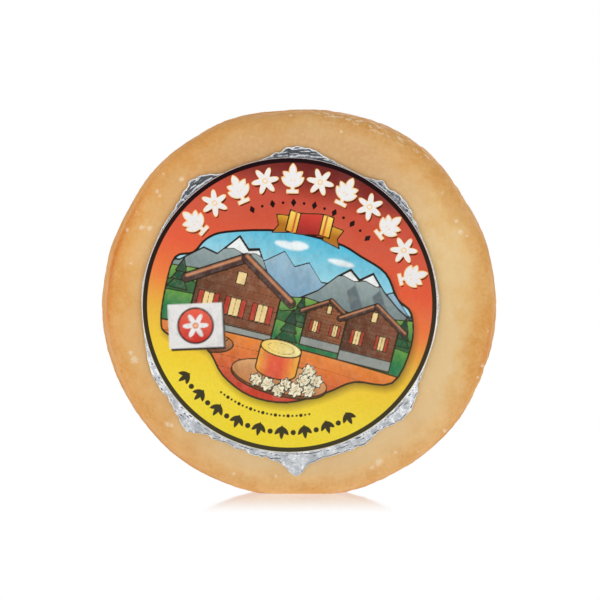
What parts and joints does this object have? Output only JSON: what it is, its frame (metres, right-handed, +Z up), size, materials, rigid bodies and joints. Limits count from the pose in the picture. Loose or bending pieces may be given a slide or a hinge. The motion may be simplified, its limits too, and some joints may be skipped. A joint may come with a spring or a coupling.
{
  "type": "cheese wheel",
  "caption": "Small whole wheel of smear-ripened hard cheese standing on its rim, with a round paper label over a torn foil remnant on one face.",
  "frame": {"origin": "centre of the footprint, on the surface that the wheel stands on, midway between the label's front and the back face", "axes": "+Z up; the wheel's axis runs along Y with the labelled face towards -Y; +X is to the right seen from the labelled face"},
  "size_m": [0.115, 0.0812, 0.1121],
  "materials": {
    "cheese_rind": "smear-ripened cheese rind, satin, pale ivory face turning orange-brown at the edge",
    "foil": "thin crumpled aluminium foil, bright",
    "label_paper": "printed semi-gloss label paper, red to yellow with a dark border"
  },
  "bodies": {
    "root": {"cheese_body": "cheese_rind", "foil_sheet": "foil", "face_label": "label_paper"}
  },
  "joints": []
}
